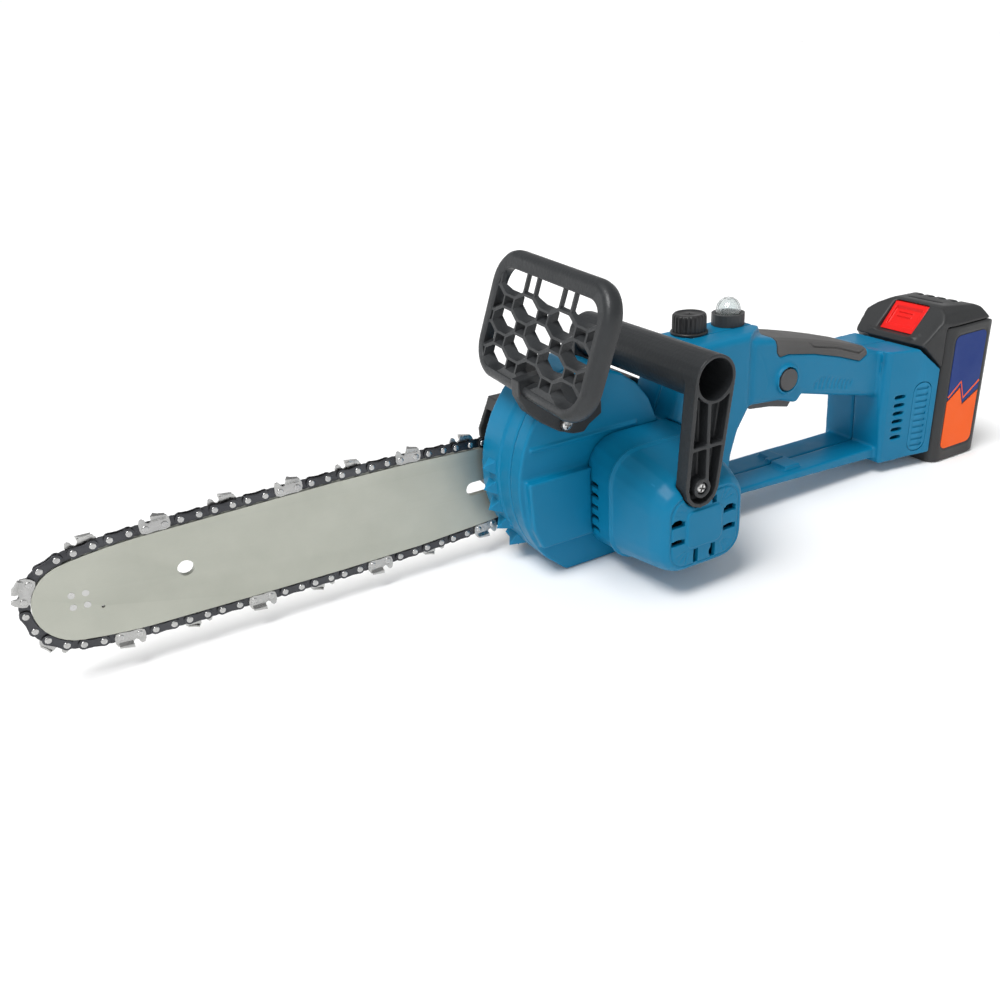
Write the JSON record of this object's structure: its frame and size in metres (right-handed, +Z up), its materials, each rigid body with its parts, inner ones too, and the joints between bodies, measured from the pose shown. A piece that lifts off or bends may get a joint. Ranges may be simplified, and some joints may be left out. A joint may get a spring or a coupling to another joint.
{
  "type": "cordless chainsaw",
  "caption": "Cordless top-handle chainsaw with guide bar and chain, honeycomb hand guard, tubular front handle, rear grip, oil cap with primer dome and a slide-on battery.",
  "frame": {"origin": "centre of the whole saw's footprint, on the plane that it stands on", "axes": "+X from the bar's nose to the battery, +Y to the operator's right (the sprocket cover's side), +Z up"},
  "size_m": [0.6792, 0.156, 0.1998],
  "materials": {
    "bar_steel": "satin ground plate",
    "chain_steel": "dark straps, bright rivets and cutters",
    "hardware_steel": "bright zinc-plated steel",
    "motor_steel": "plated motor can",
    "dark_steel": "blackened steel",
    "magnet": "bonded magnet",
    "winding": "copper winding on a steel core",
    "plate_alloy": "die-cast alloy",
    "black_plastic": "fine-grained moulding",
    "charcoal_plastic": "grained moulding",
    "blue_plastic": "satin-gloss moulding",
    "grip_rubber": "soft overmoulded rubber",
    "soft_rubber": "plain rubber",
    "control_plastic": "smooth moulding",
    "tank_plastic": "milky polyethylene",
    "clear_plastic": "clear soft dome",
    "board": "printed board",
    "lead": "insulated lead",
    "latch_plastic": "smooth moulding",
    "cell": "sleeved cells"
  },
  "bodies": {
    "saw": {"left_casing": "blue_plastic", "right_casing": "blue_plastic", "grip_overmould": "grip_rubber", "casing_screw_1": "dark_steel", "casing_screw_2": "dark_steel", "casing_screw_3": "dark_steel", "casing_screw_4": "dark_steel", "motor_housing": "blue_plastic", "motor_can": "motor_steel", "motor_magnets": "magnet", "motor_bearing": "hardware_steel", "gear_plate": "plate_alloy", "outer_bearing": "hardware_steel", "inner_bearing": "hardware_steel", "front_handle": "charcoal_plastic", "left_handle_screw": "hardware_steel", "right_handle_screw": "hardware_steel", "hand_guard": "charcoal_plastic", "guard_screw": "hardware_steel", "sprocket_cover": "black_plastic", "bar_stud_1": "hardware_steel", "bar_stud_2": "hardware_steel", "oil_tank": "tank_plastic", "oil_pickup_hose": "soft_rubber", "oil_delivery_hose": "soft_rubber", "primer_collar": "black_plastic", "trigger_pin": "hardware_steel", "trigger_spring": "hardware_steel", "trigger_switch": "black_plastic", "lock_spring": "hardware_steel", "controller_board": "board", "terminal_block": "black_plastic", "battery_lead": "lead", "motor_lead": "lead"},
    "chain_bar": {"guide_bar": "bar_steel", "saw_chain": "chain_steel", "tension_block": "hardware_steel"},
    "nose_wheel": {"nose_sprocket": "hardware_steel"},
    "drive_shaft": {"output_shaft": "hardware_steel", "drive_sprocket": "dark_steel", "drive_gear": "hardware_steel", "sprocket_clip": "dark_steel"},
    "motor_shaft": {"motor_rotor": "winding", "pinion": "hardware_steel", "motor_fan": "black_plastic"},
    "tension_screw": {"tension_screw": "hardware_steel"},
    "bar_nut_1": {"bar_nut_1": "hardware_steel"},
    "bar_nut_2": {"bar_nut_2": "hardware_steel"},
    "trigger": {"trigger": "control_plastic"},
    "lock_off_button": {"lock_off_button": "control_plastic"},
    "primer_bulb": {"primer_bulb": "clear_plastic"},
    "cap_seal": {"oil_cap_seal": "soft_rubber"},
    "oil_cap": {"oil_cap": "black_plastic"},
    "battery": {"battery_case": "black_plastic", "battery_cover": "charcoal_plastic", "battery_cells": "cell", "latch_spring": "hardware_steel"},
    "battery_latch": {"battery_latch": "latch_plastic"}
  },
  "joints": [
    {"name": "bar_slide", "type": "slide", "parent": "saw", "child": "chain_bar", "axis": [1, 0, 0], "range_m": [-0.001, 0.003]},
    {"name": "tension_turn", "type": "hinge", "parent": "saw", "child": "tension_screw", "pos_m": [-0.02988, 0.038, 0.0382], "axis": [1, 0, 0], "range_deg": [-1352, 452]},
    {"name": "nose_spin", "type": "hinge", "parent": "chain_bar", "child": "nose_wheel", "pos_m": [-0.30688, 0.047, 0.0496], "axis": [0, 1, 0], "continuous": true},
    {"name": "motor_spin", "type": "hinge", "parent": "saw", "child": "motor_shaft", "pos_m": [0.02412, -0.013, 0.0466], "axis": [0, 1, 0], "continuous": true},
    {"name": "drive_spin", "type": "hinge", "parent": "saw", "child": "drive_shaft", "pos_m": [0.04012, 0.047, 0.0496], "axis": [0, 1, 0], "continuous": true},
    {"name": "nut_1_turn", "type": "hinge", "parent": "saw", "child": "bar_nut_1", "pos_m": [-0.03988, 0.074, 0.0496], "axis": [0, 1, 0], "range_deg": [-720, 0]},
    {"name": "nut_2_turn", "type": "hinge", "parent": "saw", "child": "bar_nut_2", "pos_m": [-0.00988, 0.074, 0.0496], "axis": [0, 1, 0], "range_deg": [-720, 0]},
    {"name": "trigger_pull", "type": "hinge", "parent": "saw", "child": "trigger", "pos_m": [0.13412, 0.007, 0.0866], "axis": [0, -1, 0], "range_deg": [0, 10], "stiffness_Nm_per_rad": 0.5, "springref_deg": -14.32, "deforming": ["trigger_spring"]},
    {"name": "lock_off_press", "type": "slide", "parent": "saw", "child": "lock_off_button", "axis": [0, 1, 0], "range_m": [0, 0.004], "stiffness_N_per_m": 300, "springref_m": -0.003, "deforming": ["lock_spring"]},
    {"name": "primer_press", "type": "slide", "parent": "saw", "child": "primer_bulb", "axis": [0, 0, -1], "range_m": [0, 0.0035], "stiffness_N_per_m": 400, "springref_m": -0.001},
    {"name": "cap_lift", "type": "slide", "parent": "saw", "child": "cap_seal", "axis": [0, 0, 1], "range_m": [0, 0.006]},
    {"name": "cap_turn", "type": "hinge", "parent": "cap_seal", "child": "oil_cap", "pos_m": [0.08712, 0.017, 0.1376], "axis": [0, 0, 1], "range_deg": [-1, 541]},
    {"name": "battery_slide", "type": "slide", "parent": "saw", "child": "battery", "axis": [0, 0, 1], "range_m": [0, 0.1]},
    {"name": "latch_press", "type": "slide", "parent": "battery", "child": "battery_latch", "axis": [1, 0, 0], "range_m": [0, 0.004], "stiffness_N_per_m": 500, "springref_m": -0.003, "deforming": ["latch_spring"]}
  ],
  "couplings": [
    {"joint": "tension_turn", "follows": "bar_slide", "rad_per_m": -7854},
    {"joint": "drive_spin", "follows": "motor_spin", "ratio": -0.28125},
    {"joint": "nose_spin", "follows": "motor_spin", "ratio": -0.1875},
    {"joint": "cap_turn", "follows": "cap_lift", "rad_per_m": 1570.8}
  ]
}
